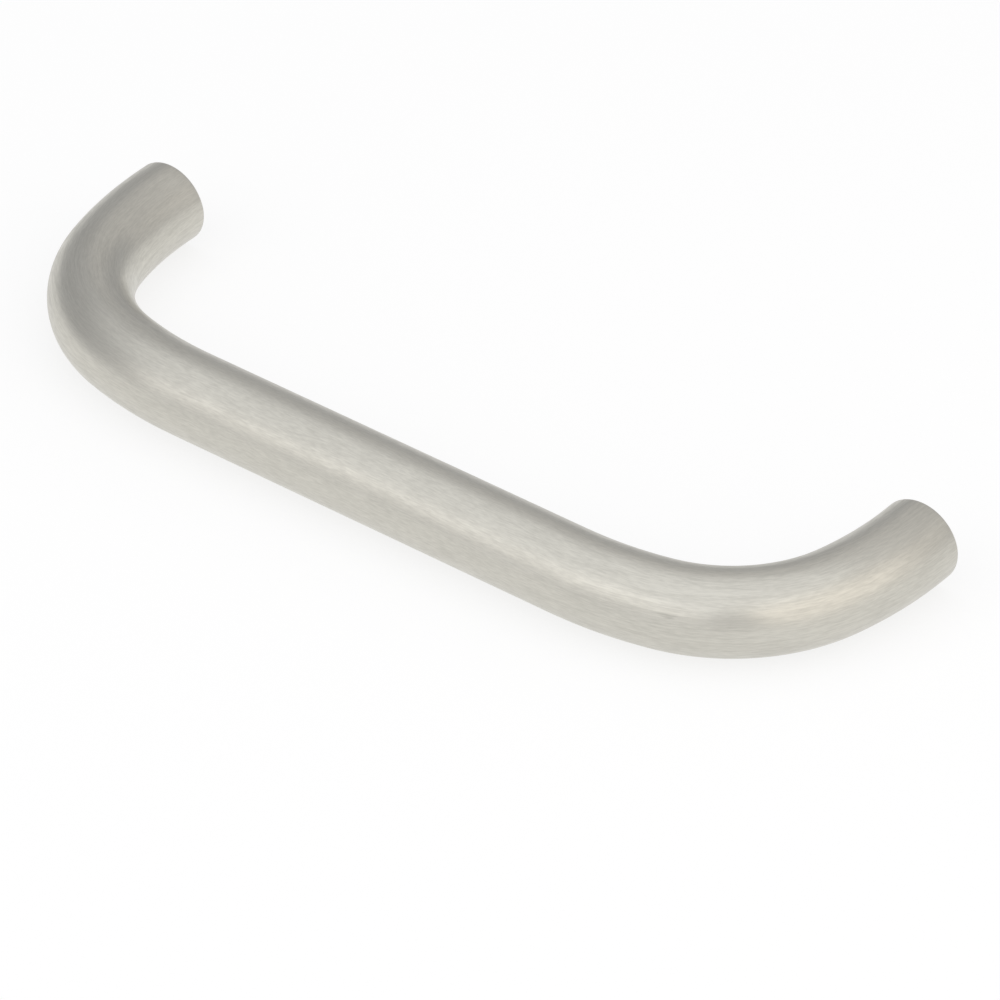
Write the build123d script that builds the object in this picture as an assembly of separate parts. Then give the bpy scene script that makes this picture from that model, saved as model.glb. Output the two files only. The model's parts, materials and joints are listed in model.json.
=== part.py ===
from build123d import *
from math import cos, radians, sin, tan
import os

# A bracket handle for a drawer or a door: one solid round bar of stainless steel, bent twice into a
# flat bow, with a blind tapped hole in each end for a screw that comes through the panel.
#
# The bow lies in the XY plane. X runs along the grip, and the end faces lie in the plane Y = 0, which
# is the face of the panel. The origin is midway between the two holes, and the grip is on the -Y side.

# Driving dimensions, in millimetres and degrees
ROD_DIAMETER = 12.0
HOLE_CENTRES = 128.0
PROJECTION = 40.0  # from the panel to the front of the grip
LEG_STRAIGHT = 2.0  # straight length at the end of each leg, before the bend
BEND_RADIUS = 23.0  # of the centreline, in the tight middle of each bend
BEND_EASE_ANGLE = 15.0  # turned gently at each end of a bend, on the way into and out of its middle
END_EDGE_RADIUS = 0.4
THREAD_DIAMETER = 4.0
THREAD_PITCH = 0.7
HOLE_DEPTH = 14.0  # to the end of the full bore
DRILL_POINT_ANGLE = 118.0
COUNTERSINK_MARGIN = 0.4  # of the countersink's mouth over the thread's diameter
COUNTERSINK_ANGLE = 90.0

# Sizes that follow from them
RIGHT_ANGLE = 90.0
rod_radius = ROD_DIAMETER / 2
grip_offset = PROJECTION - rod_radius
bend_reach = grip_offset - LEG_STRAIGHT
bend_middle_angle = RIGHT_ANGLE - 2 * BEND_EASE_ANGLE
bore_radius = (THREAD_DIAMETER - THREAD_PITCH) / 2
mouth_radius = (THREAD_DIAMETER + COUNTERSINK_MARGIN) / 2


def ease_radius():
    """Radius of a bend's gentle ends, with which the whole bend fills the room from grip to leg."""
    turned = radians(BEND_EASE_ANGLE)
    reach_of_middle = BEND_RADIUS * (cos(turned) - sin(turned))
    return (bend_reach - reach_of_middle) / (1 + sin(turned) - cos(turned))


def bend(start, direction):
    """Centreline of one bend to the left: a gentle arc, the tight middle and a gentle arc again."""
    entry = JernArc(start, direction, ease_radius(), BEND_EASE_ANGLE)
    middle = JernArc(entry @ 1, entry % 1, BEND_RADIUS, bend_middle_angle)
    leaving = JernArc(middle @ 1, middle % 1, ease_radius(), BEND_EASE_ANGLE)
    return [entry, middle, leaving]


def centreline():
    """Centreline of the bar, from the left end face round both bends to the right end face."""
    left_end = Vector(-HOLE_CENTRES / 2, 0)
    right_end = Vector(HOLE_CENTRES / 2, 0)
    left_leg = Line(left_end, left_end - Vector(0, LEG_STRAIGHT))
    left_bend = bend(left_leg @ 1, left_leg % 1)
    grip = Line(left_bend[-1] @ 1, (HOLE_CENTRES / 2 - bend_reach, -grip_offset))
    right_bend = bend(grip @ 1, grip % 1)
    right_leg = Line(right_bend[-1] @ 1, right_end)
    return Wire([left_leg, *left_bend, grip, *right_bend, right_leg])


def bent_bar():
    """The bar swept along its centreline, with the sharp edge taken off both end faces."""
    path = centreline()
    section = Plane(origin=path @ 0, z_dir=path % 0) * Circle(rod_radius)
    bar = sweep(section, path=path)
    end_faces = bar.faces().filter_by(Axis.Y).group_by(Axis.Y)[-1]
    return fillet(end_faces.edges(), END_EDGE_RADIUS)


def screw_hole():
    """What the drill and countersink take out of one end: mouth at the origin, bottom towards -Y."""
    countersink_depth = (mouth_radius - bore_radius) / tan(radians(COUNTERSINK_ANGLE / 2))
    point_depth = bore_radius / tan(radians(DRILL_POINT_ANGLE / 2))
    outline = Polyline(
        (0, 0),
        (mouth_radius, 0),
        (bore_radius, -countersink_depth),
        (bore_radius, -HOLE_DEPTH),
        (0, -HOLE_DEPTH - point_depth),
        close=True,
    )
    return revolve(make_face(outline), axis=Axis.Y)


def bow_handle():
    """The whole handle: the bent bar with a hole in the middle of each end face."""
    hole_places = GridLocations(HOLE_CENTRES, 0, 2, 1)
    return bent_bar() - [place * screw_hole() for place in hole_places]


os.makedirs("parts", exist_ok=True)
export_step(bow_handle(), "parts/bow_handle.step")
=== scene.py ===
import json
import math

import bpy
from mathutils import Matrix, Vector


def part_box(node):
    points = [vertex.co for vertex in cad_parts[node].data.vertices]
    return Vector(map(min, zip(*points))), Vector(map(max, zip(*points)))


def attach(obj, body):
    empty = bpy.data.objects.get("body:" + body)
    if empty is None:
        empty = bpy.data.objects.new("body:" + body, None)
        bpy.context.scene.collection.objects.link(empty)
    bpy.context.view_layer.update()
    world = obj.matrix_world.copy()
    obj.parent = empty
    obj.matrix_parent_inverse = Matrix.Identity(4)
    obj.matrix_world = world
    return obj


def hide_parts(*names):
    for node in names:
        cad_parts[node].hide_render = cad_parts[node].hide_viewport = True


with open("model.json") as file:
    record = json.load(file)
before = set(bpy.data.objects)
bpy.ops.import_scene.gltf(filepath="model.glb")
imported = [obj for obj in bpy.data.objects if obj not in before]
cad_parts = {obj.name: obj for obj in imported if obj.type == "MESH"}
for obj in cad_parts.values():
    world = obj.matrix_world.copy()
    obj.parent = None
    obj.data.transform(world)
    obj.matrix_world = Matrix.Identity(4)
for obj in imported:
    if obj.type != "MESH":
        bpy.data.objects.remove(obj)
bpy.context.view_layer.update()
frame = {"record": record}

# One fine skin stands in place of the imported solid, with real threads in its ends. Its finishes are painted
# by place in the straight bar that the handle was bent from, so their grain follows the bends.

MM = 0.001

# Sizes that the frame gives, in metres
node_low, node_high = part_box("bow_handle")
screws = next(mount for mount in frame["record"]["mounts"] if mount["name"] == "fixing_screws")
rod_radius = (node_high.z - node_low.z) / 2
grip_offset = node_high.y - node_low.y - rod_radius
hole_x = screws["dims"]["spacing_x_mm"] * MM / 2
bore_radius = screws["dims"]["hole_r_mm"] * MM

# Sizes of the bent bar and its tapped ends, in metres and radians
LEG_STRAIGHT = 2.0 * MM
BEND_RADIUS = 23.0 * MM
BEND_EASE_ANGLE = math.radians(15)
END_EDGE_RADIUS = 0.4 * MM
THREAD_DIAMETER = 4.0 * MM
THREAD_PITCH = 0.7 * MM
THREAD_LENGTH = 11.0 * MM
THREAD_RUN_OUT = 1.4 * MM  # where the tap's taper leaves the thread shallow
THREAD_ROOT_SHARE = 0.125  # of the pitch, the flat at the bottom of the groove
THREAD_FLANK_ANGLE = math.radians(30)
COUNTERSINK_MARGIN = 0.4 * MM
COUNTERSINK_HALF_ANGLE = math.radians(45)
HOLE_DEPTH = 14.0 * MM
DRILL_POINT_HALF_ANGLE = math.radians(59)
bend_reach = grip_offset - LEG_STRAIGHT
grip_length = 2 * (hole_x - bend_reach)
mouth_radius = (THREAD_DIAMETER + COUNTERSINK_MARGIN) / 2
flat_radius = rod_radius - END_EDGE_RADIUS
tip_depth = HOLE_DEPTH + bore_radius / math.tan(DRILL_POINT_HALF_ANGLE)

# How finely the skin is divided
SEGMENTS = 96  # round the bar
BEND_STEP = math.radians(1.5)
STRAIGHT_STEP = 2.0 * MM
EDGE_STEPS = 8
RINGS_PER_PITCH = 12
FACE_SUPPORT = 0.08 * MM  # keeps the shading of the flat end faces flat up to their edges
SHARP_ANGLE = math.radians(32)  # edges that turn by more than this are shaded sharp

# The skin's parts, which are also the places of their finishes on the mesh
BAR, FACE, HOLE = range(3)

# Names that the mesh and the finishes share
PLACE_NAME = "straight_place"  # across, up and along, in the bar as it was before bending
GRAIN_MAP = "grain"

# Layout of the map that the finishes can be baked through, in shares of its width
BAKE_MAP = "OFBake"
BAKE_MARGIN = 0.01
BAR_ROW = 0.42  # height of each row, with half the bar's length in it
END_ROW = 0.12  # height of the row with both end faces and both holes
HOLE_CELL = 0.35  # width of one hole's wall, unrolled

# Ground finish of the bar: widths and lengths of its marks in metres, their shares, and linear colours
BRUSH_SIZE = (0.17 * MM, 1.3 * MM)
STREAK_SIZE = (0.50 * MM, 14.0 * MM)
MOTTLE_SIZE = (2.0 * MM, 4.5 * MM)
BRUSH_SHARE = 0.70
MOTTLE_SHARE = 0.25
GRIP_STREAK_SHARE = 0.15
BEND_STREAK_SHARE = 0.50  # more than on the grip, because bending stretched the grain
BEND_FADE = 12.0 * MM  # length of bar from the end of the grip over which the streaks grow
GRAIN_DETAIL = 2.0
STEEL_DARK = (0.545, 0.530, 0.479)
STEEL_LIGHT = (0.637, 0.619, 0.559)
STEEL_ROUGHNESS = (0.415, 0.335)  # from the darkest steel to the lightest
STEEL_ANISOTROPY = 0.35
TONE_RANGE = (0.34, 0.66)  # of the blended marks, from the darkest steel to the lightest
BRUSH_DEPTH = 0.0015 * MM

# The scuff on the outer side of the right bend: its place in the unbent bar, and half its width and length
SCUFF_PLACE = Vector((-5.48, 2.44, 134.6)) * MM
SCUFF_SIZE = (0.26 * MM, 0.80 * MM)
SCUFF_SHADE = 0.84  # share of the steel's colour that is left in its middle
SCUFF_RAGGED = 2.0  # how far the grain breaks up its edge, in half sizes
SCUFF_EDGE = (1.6, 2.5)  # half sizes from its middle, with the grain's part added, over which it fades out

# Cut finish of the end faces, with the tool's rings, and of the holes, with a trace of oil
CUT_RANGE = (0.3, 0.7)  # of the noise, from the dark colour and rougher steel to the light and smoother
RING_SIZE = 0.12 * MM
RING_DEPTH = 0.0015 * MM
FACED_DARK = (0.550, 0.540, 0.490)
FACED_LIGHT = (0.640, 0.628, 0.570)
FACED_ROUGHNESS = (0.40, 0.30)
STAIN_SIZE = (0.5 * MM, 0.5 * MM)
STAIN_DETAIL = 3.0
TAPPED_DARK = (0.430, 0.416, 0.370)
TAPPED_LIGHT = (0.550, 0.538, 0.490)
TAPPED_ROUGHNESS = (0.38, 0.26)

# Camera, fitted to the outline of the handle in the photograph
CAMERA_AIM = Vector((8.35, -18.25, -8.41)) * MM
CAMERA_AZIMUTH = math.radians(38.20)
CAMERA_ELEVATION = math.radians(36.17)
CAMERA_DISTANCE = 1.0116
SENSOR_WIDTH_MM = 36.0
LENS_MM = 273.2

# Table and light, in metres and linear colours
FLOOR_RADIUS = 6.0
FLOOR_SIDES = 64
FLOOR_SHADE = 0.25  # share of the table's white that takes shadow; the rest is glow, so the shadow is faint
ROOM_LIGHT = (0.475, 0.481, 0.498)
SOFTBOX_DISTANCE = 0.8
WHITE = (1.0, 1.0, 1.0)
WARM_WHITE = (1.0, 0.975, 0.95)
WARM = (1.0, 0.935, 0.85)


def along(heading):
    """Unit vector in the plane of the bow, at this angle from +X."""
    return Vector((math.cos(heading), math.sin(heading), 0))


def left_of(heading):
    """Unit vector in the plane of the bow, a quarter turn to the left of this heading."""
    return Vector((-math.sin(heading), math.cos(heading), 0))


def ease_radius():
    """Radius of a bend's gentle ends, with which the whole bend fills the room from grip to leg."""
    cosine = math.cos(BEND_EASE_ANGLE)
    sine = math.sin(BEND_EASE_ANGLE)
    return (bend_reach - BEND_RADIUS * (cosine - sine)) / (1 + sine - cosine)


def centreline_runs():
    """The bar's centreline as (length or radius, turn) runs; a straight run turns by nothing."""
    leg = (LEG_STRAIGHT - END_EDGE_RADIUS, 0)
    ease = (ease_radius(), BEND_EASE_ANGLE)
    bend = [ease, (BEND_RADIUS, math.pi / 2 - 2 * BEND_EASE_ANGLE), ease]
    return [leg, *bend, (grip_length, 0), *bend, leg]


def centreline_stations():
    """(point, heading, length so far) along the centreline, between the rounded edges of both ends."""
    point = Vector((-hole_x, -END_EDGE_RADIUS, 0))
    heading = -math.pi / 2
    walked = END_EDGE_RADIUS
    stations = [(point, heading, walked)]
    for size, turn in centreline_runs():
        steps = math.ceil(turn / BEND_STEP) if turn else math.ceil(size / STRAIGHT_STEP)
        for _ in range(steps):
            if turn:
                centre = point + left_of(heading) * size
                heading += turn / steps
                point = centre - left_of(heading) * size
                walked += size * turn / steps
            else:
                point = point + along(heading) * (size / steps)
                walked += size / steps
            stations.append((point, heading, walked))
    return stations


def thread_groove(depth, angle):
    """Depth of the thread's groove below the bore, at this depth in the hole and angle round it."""
    full = THREAD_DIAMETER / 2 - bore_radius
    phase = (depth / THREAD_PITCH + angle / math.tau) % 1
    from_root = abs(phase - 0.5) * THREAD_PITCH - THREAD_ROOT_SHARE * THREAD_PITCH / 2
    groove = full - max(from_root, 0) / math.tan(THREAD_FLANK_ANGLE)
    left = max(0, min(1, (THREAD_LENGTH - depth) / THREAD_RUN_OUT))
    return max(groove, 0) * left


def hole_radius(depth, angle):
    """Radius of the tapped hole's wall: the countersink, or the bore and the thread's groove."""
    countersink = mouth_radius - depth * math.tan(COUNTERSINK_HALF_ANGLE)
    return max(countersink, bore_radius + thread_groove(depth, angle))


def end_rings(turns):
    """Rings of one end from its outer edge to the bottom of its hole, as (part, depth, radii round it).

    turns is 1 or -1, for the way that the ring's angle runs about the hole, so that both threads are
    right-handed."""
    rings = []
    for step in range(1, EDGE_STEPS + 1):
        bend = math.pi / 2 * step / EDGE_STEPS
        depth = END_EDGE_RADIUS * (1 - math.sin(bend))
        radius = flat_radius + END_EDGE_RADIUS * math.cos(bend)
        rings.append((BAR, depth, [radius] * SEGMENTS))
    for radius in (flat_radius - FACE_SUPPORT, mouth_radius + FACE_SUPPORT):
        rings.append((FACE, 0, [radius] * SEGMENTS))
    angles = [turns * math.tau * i / SEGMENTS for i in range(SEGMENTS)]
    steps = math.ceil(THREAD_LENGTH / THREAD_PITCH * RINGS_PER_PITCH)
    for step in range(steps + 1):
        depth = THREAD_LENGTH * step / steps
        rings.append((HOLE, depth, [hole_radius(depth, angle) for angle in angles]))
    rings.append((HOLE, HOLE_DEPTH, [bore_radius] * SEGMENTS))
    return rings


class BarSkin:
    """Collects the skin ring by ring, each vertex with its place in the bar as it was before bending."""

    def __init__(self):
        self.vertices = []
        self.straight_places = []
        self.rings = []
        self.faces = []
        self.parts = []

    def add_vertex(self, place, straight_place):
        self.vertices.append(place)
        self.straight_places.append(straight_place)
        return len(self.vertices) - 1

    def add_ring(self, part, centre, heading, walked, radii):
        side = left_of(heading)
        ring = []
        for i, radius in enumerate(radii):
            angle = math.tau * i / SEGMENTS
            across = radius * math.cos(angle)
            up = radius * math.sin(angle)
            place = centre + side * across + Vector((0, 0, up))
            ring.append(self.add_vertex(place, Vector((across, up, walked))))
        self.rings.append((part, ring))

    def add_faces(self, first_tip, last_tip):
        """Joins each ring to the next and closes both ends; what meets a flat ring is part of its face."""
        neighbours = [(i, (i + 1) % SEGMENTS) for i in range(SEGMENTS)]
        for (part, ring), (next_part, following) in zip(self.rings, self.rings[1:]):
            for i, j in neighbours:
                self.faces.append((ring[i], ring[j], following[j], following[i]))
                self.parts.append(FACE if FACE in (part, next_part) else part)
        first_ring = self.rings[0][1]
        last_ring = self.rings[-1][1]
        for i, j in neighbours:
            self.faces.append((first_tip, first_ring[j], first_ring[i]))
            self.faces.append((last_tip, last_ring[i], last_ring[j]))
            self.parts += [HOLE, HOLE]

    def mesh(self, name):
        mesh = bpy.data.meshes.new(name)
        mesh.from_pydata(self.vertices, [], self.faces)
        places = mesh.attributes.new(PLACE_NAME, "FLOAT_VECTOR", "POINT")
        places.data.foreach_set("vector", [x for place in self.straight_places for x in place])
        mesh.polygons.foreach_set("material_index", self.parts)
        mesh.update()
        return mesh


def handle_mesh():
    """The handle as one closed skin, from the bottom of the left hole round the bar to the right one's.

    Returns the mesh and the length of the straight bar."""
    skin = BarSkin()
    stations = centreline_stations()
    bar_length = stations[-1][2] + END_EDGE_RADIUS
    first_tip = skin.add_vertex(Vector((-hole_x, -tip_depth, 0)), Vector((0, 0, tip_depth)))
    for part, depth, radii in reversed(end_rings(-1)):
        skin.add_ring(part, Vector((-hole_x, -depth, 0)), stations[0][1], depth, radii)
    for point, heading, walked in stations:
        skin.add_ring(BAR, point, heading, walked, [rod_radius] * SEGMENTS)
    for part, depth, radii in end_rings(1):
        skin.add_ring(part, Vector((hole_x, -depth, 0)), stations[-1][1], bar_length - depth, radii)
    last_tip = skin.add_vertex(Vector((hole_x, -tip_depth, 0)), Vector((0, 0, bar_length - tip_depth)))
    skin.add_faces(first_tip, last_tip)
    return skin.mesh("satin_bow"), bar_length


def turns_round(places):
    """How far round the bar each corner of a face is, from 0 to 1, on one side of the seam."""
    turns = [math.atan2(up, across) / math.tau % 1 for across, up, _ in places]
    on_axis = [across == up == 0 for across, up, _ in places]
    known = [turn for turn, middle in zip(turns, on_axis) if not middle]
    if max(known) - min(known) > 0.5:
        turns = [turn + 1 if turn < 0.5 else turn for turn in turns]
        known = [turn + 1 if turn < 0.5 else turn for turn in known]
    average = sum(known) / len(known)
    return [average if middle else turn for turn, middle in zip(turns, on_axis)]


def bake_place(part, right, turn, place, bar_length):
    """Where a corner lies on the bake map: the bar in two rows, and a third for its end faces and holes."""
    across, up, walked = place
    if part == BAR:
        half = bar_length / 2
        shown = walked - half if right else walked
        row_bottom = BAKE_MARGIN + right * (BAR_ROW + BAKE_MARGIN)
        return (BAKE_MARGIN + shown / half * (1 - 2 * BAKE_MARGIN), row_bottom + turn * BAR_ROW)
    row_bottom = 1 - BAKE_MARGIN - END_ROW
    if part == FACE:
        middle = BAKE_MARGIN + END_ROW / 2 + right * (END_ROW + BAKE_MARGIN)
        scale = END_ROW / (2 * rod_radius)
        return (middle + across * scale, row_bottom + END_ROW / 2 + up * scale)
    depth = bar_length - walked if right else walked
    cell_left = 2 * (END_ROW + BAKE_MARGIN) + BAKE_MARGIN + right * (HOLE_CELL + BAKE_MARGIN)
    return (cell_left + turn * HOLE_CELL, row_bottom + depth / tip_depth * END_ROW)


def add_maps(mesh, bar_length):
    """A UV map whose U runs round the bar, from which the grain's direction is read, and the bake map."""
    grain = mesh.uv_layers.new(name=GRAIN_MAP)
    bake = mesh.uv_layers.new(name=BAKE_MAP)
    attribute = mesh.attributes[PLACE_NAME].data
    for face in mesh.polygons:
        places = [attribute[corner].vector for corner in face.vertices]
        right = sum(place.z for place in places) / len(places) > bar_length / 2
        for loop, turn, place in zip(face.loop_indices, turns_round(places), places):
            grain.uv[loop].vector = (turn, place.z / (math.tau * rod_radius))
            bake.uv[loop].vector = bake_place(face.material_index, right, turn, place, bar_length)


class MaterialNodes:
    """A new material, and short ways to add nodes to it."""

    def __init__(self, name):
        self.material = bpy.data.materials.new(name)
        self.material.use_nodes = True
        self.tree = self.material.node_tree

    def node(self, kind, **settings):
        made = self.tree.nodes.new(kind)
        for name, value in settings.items():
            setattr(made, name, value)
        return made

    def give(self, socket, value):
        """Links another node's output to the socket, or sets the socket's own value."""
        if isinstance(value, bpy.types.NodeSocket):
            self.tree.links.new(value, socket)
        else:
            socket.default_value = value

    def result(self, node, *values):
        """The node's first output, once its inputs have these values in turn."""
        for socket, value in zip(node.inputs, values):
            self.give(socket, value)
        return node.outputs[0]

    def maths(self, operation, *values):
        return self.result(self.node("ShaderNodeMath", operation=operation), *values)


class Finish(MaterialNodes):
    """One finish of the steel: a metal shader, and nodes that paint it by place in the unbent bar."""

    def __init__(self, name):
        super().__init__(name)
        self.shader = self.tree.nodes["Principled BSDF"]
        self.shader.inputs["Metallic"].default_value = 1.0
        self.place = self.node("ShaderNodeAttribute", attribute_name=PLACE_NAME).outputs["Vector"]

    def vectors(self, operation, *values):
        return self.result(self.node("ShaderNodeVectorMath", operation=operation), *values)

    def length(self, vector):
        node = self.node("ShaderNodeVectorMath", operation="LENGTH")
        self.give(node.inputs[0], vector)
        return node.outputs["Value"]

    def noise(self, size, detail):
        """Noise in marks of this (width, length), which run along the bar."""
        width, length = size
        scaled = self.vectors("MULTIPLY", self.place, (1 / width, 1 / width, 1 / length))
        node = self.node("ShaderNodeTexNoise")
        node.inputs["Scale"].default_value = 1.0
        node.inputs["Detail"].default_value = detail
        self.give(node.inputs["Vector"], scaled)
        return node.outputs["Fac"]

    def blend(self, *shares):
        """Noises about a half, each times its share, added up about a half again."""
        total = 0.5
        for noise, share in shares:
            total = self.maths("MULTIPLY_ADD", self.maths("SUBTRACT", noise, 0.5), share, total)
        return total

    def ranged(self, value, low, high, to_low, to_high):
        """The value moved smoothly from one range to another, and held there."""
        node = self.node("ShaderNodeMapRange", interpolation_type="SMOOTHSTEP")
        return self.result(node, value, low, high, to_low, to_high)

    def ramp(self, value, bounds, dark, light):
        """A colour that goes from dark to light as the value goes from the lower bound to the upper."""
        node = self.node("ShaderNodeValToRGB")
        for stop, position, colour in zip(node.color_ramp.elements, bounds, (dark, light)):
            stop.position = position
            stop.color = (*colour, 1)
        return self.result(node, value)

    def paint(self, colour, roughness):
        self.give(self.shader.inputs["Base Color"], colour)
        self.give(self.shader.inputs["Roughness"], roughness)

    def emboss(self, height, depth):
        node = self.node("ShaderNodeBump")
        node.inputs["Distance"].default_value = depth
        self.give(node.inputs["Height"], height)
        self.give(self.shader.inputs["Normal"], node.outputs["Normal"])


def ground_steel(bar_length):
    """Stainless steel ground lengthwise: short fine grain, faint mottling, and more streaks in the bends."""
    finish = Finish("ground_steel")
    brush = finish.noise(BRUSH_SIZE, GRAIN_DETAIL)
    streaks = finish.noise(STREAK_SIZE, GRAIN_DETAIL)
    mottle = finish.noise(MOTTLE_SIZE, GRAIN_DETAIL)
    place = finish.node("ShaderNodeSeparateXYZ")
    finish.give(place.inputs["Vector"], finish.place)
    from_middle = finish.maths("ABSOLUTE", finish.maths("SUBTRACT", place.outputs["Z"], bar_length / 2))
    grip_end = grip_length / 2
    bend_start = (grip_end, grip_end + BEND_FADE)
    streak_share = finish.ranged(from_middle, *bend_start, GRIP_STREAK_SHARE, BEND_STREAK_SHARE)
    tone = finish.blend((brush, BRUSH_SHARE), (mottle, MOTTLE_SHARE), (streaks, streak_share))
    steel = finish.ramp(tone, TONE_RANGE, STEEL_DARK, STEEL_LIGHT)
    width, length = SCUFF_SIZE
    from_scuff = finish.vectors("SUBTRACT", finish.place, SCUFF_PLACE)
    spread = finish.length(finish.vectors("MULTIPLY", from_scuff, (1 / width, 1 / width, 1 / length)))
    ragged = finish.maths("MULTIPLY_ADD", brush, SCUFF_RAGGED, spread)
    scuff = finish.ranged(ragged, *SCUFF_EDGE, SCUFF_SHADE, 1.0)
    colour = finish.vectors("MULTIPLY", steel, scuff)
    finish.paint(colour, finish.ranged(tone, *TONE_RANGE, *STEEL_ROUGHNESS))
    finish.emboss(brush, BRUSH_DEPTH)
    tangent = finish.node("ShaderNodeTangent", direction_type="UV_MAP", uv_map=GRAIN_MAP)
    finish.give(finish.shader.inputs["Tangent"], tangent.outputs["Tangent"])
    finish.shader.inputs["Anisotropic"].default_value = STEEL_ANISOTROPY
    return finish.material


def faced_steel():
    """The square-cut ends: fine rings left by the facing tool."""
    finish = Finish("faced_steel")
    radius = finish.length(finish.vectors("MULTIPLY", finish.place, (1, 1, 0)))
    rings = finish.node("ShaderNodeTexNoise", noise_dimensions="1D")
    rings.inputs["Scale"].default_value = 1 / RING_SIZE
    finish.give(rings.inputs["W"], radius)
    tone = rings.outputs["Fac"]
    finish.paint(
        finish.ramp(tone, CUT_RANGE, FACED_DARK, FACED_LIGHT),
        finish.ranged(tone, *CUT_RANGE, *FACED_ROUGHNESS),
    )
    finish.emboss(tone, RING_DEPTH)
    return finish.material


def tapped_steel():
    """The walls of the tapped holes: cut steel with a trace of oil in it."""
    finish = Finish("tapped_steel")
    stain = finish.noise(STAIN_SIZE, STAIN_DETAIL)
    finish.paint(
        finish.ramp(stain, CUT_RANGE, TAPPED_DARK, TAPPED_LIGHT),
        finish.ranged(stain, *CUT_RANGE, *TAPPED_ROUGHNESS),
    )
    return finish.material


def make_handle():
    """The dressed handle, with its three finishes on the bar, the end faces and the holes."""
    mesh, bar_length = handle_mesh()
    add_maps(mesh, bar_length)
    for material in (ground_steel(bar_length), faced_steel(), tapped_steel()):
        mesh.materials.append(material)
    mesh.shade_smooth()
    mesh.set_sharp_from_angle(angle=SHARP_ANGLE)
    handle = bpy.data.objects.new("satin_bow", mesh)
    bpy.context.scene.collection.objects.link(handle)
    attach(handle, "root")
    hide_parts("bow_handle")


def table_material():
    """A white table: to the camera partly matt, so that it takes shadow, and in mirrors plain white."""
    table = MaterialNodes("white_table")
    ray = table.node("ShaderNodeLightPath").outputs
    mirrored = table.maths("ADD", ray["Is Glossy Ray"], ray["Is Transmission Ray"])
    visible = table.maths("ADD", ray["Is Camera Ray"], mirrored)
    shade = table.maths("MULTIPLY", ray["Is Camera Ray"], FLOOR_SHADE)
    matt = table.result(table.node("ShaderNodeBsdfDiffuse"), shade)
    glow = table.node("ShaderNodeEmission")
    table.give(glow.inputs["Strength"], table.maths("SUBTRACT", visible, shade))
    surface = table.result(table.node("ShaderNodeAddShader"), matt, glow.outputs["Emission"])
    table.give(table.tree.nodes["Material Output"].inputs["Surface"], surface)
    table.tree.nodes.remove(table.tree.nodes["Principled BSDF"])
    return table.material


def make_floor():
    """The table that the handle lies on."""
    around = [along(math.tau * i / FLOOR_SIDES) * FLOOR_RADIUS for i in range(FLOOR_SIDES)]
    corners = [point + Vector((0, 0, node_low.z)) for point in around]
    mesh = bpy.data.meshes.new("table")
    mesh.from_pydata(corners, [], [list(range(FLOOR_SIDES))])
    mesh.materials.append(table_material())
    floor = bpy.data.objects.new("table", mesh)
    bpy.context.scene.collection.objects.link(floor)


def direction_to(azimuth, elevation):
    """Unit vector at this azimuth, from the front round to the right, and this elevation."""
    flat = math.cos(elevation)
    return Vector((math.sin(azimuth) * flat, -math.cos(azimuth) * flat, math.sin(elevation)))


def make_softbox(side, azimuth, elevation, size, radiance, tint):
    """A soft light that the camera doesn't see, facing the handle from this direction in degrees."""
    name = f"{side}_softbox"
    width, height = size
    lamp = bpy.data.lights.new(name, "AREA")
    lamp.color = tint
    lamp.shape = "RECTANGLE"
    lamp.size = width
    lamp.size_y = height
    lamp.energy = radiance * math.pi * width * height
    direction = direction_to(math.radians(azimuth), math.radians(elevation))
    softbox = bpy.data.objects.new(name, lamp)
    softbox.location = (node_low + node_high) / 2 + direction * SOFTBOX_DISTANCE
    softbox.rotation_euler = direction.to_track_quat("Z", "Y").to_euler()
    softbox.visible_camera = False
    bpy.context.scene.collection.objects.link(softbox)


def make_lights():
    """An evenly lit room, softboxes in front, on the right and above, and faint ones between and behind."""
    world = bpy.data.worlds.new("room")
    world.use_nodes = True
    sky = world.node_tree.nodes["Background"]
    sky.inputs["Color"].default_value = (*ROOM_LIGHT, 1)
    bpy.context.scene.world = world
    make_softbox("front", azimuth=-9, elevation=23, size=(1.12, 0.45), radiance=0.74, tint=WARM_WHITE)
    make_softbox("corner", azimuth=40, elevation=11, size=(0.45, 0.28), radiance=0.22, tint=WARM_WHITE)
    make_softbox("right", azimuth=88, elevation=25, size=(1.00, 0.70), radiance=0.82, tint=WARM)
    make_softbox("rear", azimuth=142, elevation=20, size=(0.60, 0.45), radiance=0.20, tint=WARM)
    make_softbox("back", azimuth=176, elevation=44, size=(1.20, 0.44), radiance=0.19, tint=WARM)
    make_softbox("overhead", azimuth=-2, elevation=77, size=(1.50, 1.55), radiance=0.63, tint=WHITE)


def make_camera():
    """The camera at the photograph's view."""
    back = direction_to(CAMERA_AZIMUTH, CAMERA_ELEVATION)
    data = bpy.data.cameras.new("photo_camera")
    data.sensor_width = SENSOR_WIDTH_MM
    data.lens = LENS_MM
    camera = bpy.data.objects.new("photo_camera", data)
    camera.location = CAMERA_AIM + back * CAMERA_DISTANCE
    camera.rotation_euler = back.to_track_quat("Z", "Y").to_euler()
    bpy.context.scene.collection.objects.link(camera)
    bpy.context.scene.camera = camera


make_handle()
make_floor()
make_lights()
make_camera()
bpy.context.scene.view_settings.view_transform = "Standard"
